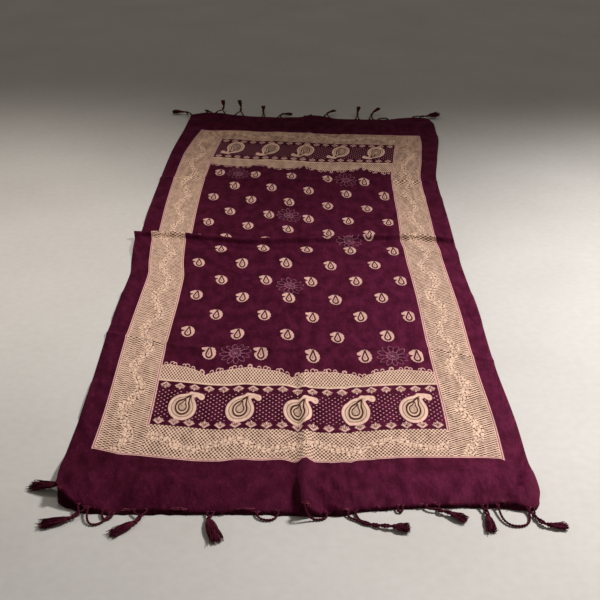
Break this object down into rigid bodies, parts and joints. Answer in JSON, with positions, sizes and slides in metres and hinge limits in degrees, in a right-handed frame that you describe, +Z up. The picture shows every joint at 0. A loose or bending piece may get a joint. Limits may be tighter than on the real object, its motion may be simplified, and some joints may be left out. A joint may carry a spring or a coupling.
{
  "type": "dupatta stole",
  "caption": "Long woven dupatta stole laid flat, opened out with its fold creases and a raised fold across the middle, with knotted tassels along both hems.",
  "frame": {"origin": "under the middle of the whole stole's box, tassels included, on the surface that it lies on", "axes": "+Y along the stole from its near hem to its far hem, +X across it to the right seen from the near hem, +Z up off the surface"},
  "size_m": [0.8048, 1.8625, 0.039],
  "materials": {
    "maroon_cloth": "soft matte weave with a slight sheen",
    "maroon_thread": "matte twisted thread"
  },
  "bodies": {
    "root": {"stole_panel": "maroon_cloth", "near_tassel_01": "maroon_thread", "near_tassel_02": "maroon_thread", "near_tassel_03": "maroon_thread", "near_tassel_04": "maroon_thread", "near_tassel_05": "maroon_thread", "near_tassel_06": "maroon_thread", "near_tassel_07": "maroon_thread", "near_tassel_08": "maroon_thread", "far_tassel_01": "maroon_thread", "far_tassel_02": "maroon_thread", "far_tassel_03": "maroon_thread", "far_tassel_04": "maroon_thread", "far_tassel_05": "maroon_thread", "far_tassel_06": "maroon_thread", "far_tassel_07": "maroon_thread", "far_tassel_08": "maroon_thread", "far_tassel_09": "maroon_thread", "far_tassel_10": "maroon_thread", "near_loop_01": "maroon_thread", "near_loop_02": "maroon_thread", "near_loop_03": "maroon_thread", "near_loop_04": "maroon_thread", "near_loop_05": "maroon_thread", "near_loop_06": "maroon_thread", "far_loop_01": "maroon_thread", "far_loop_02": "maroon_thread"}
  },
  "joints": []
}
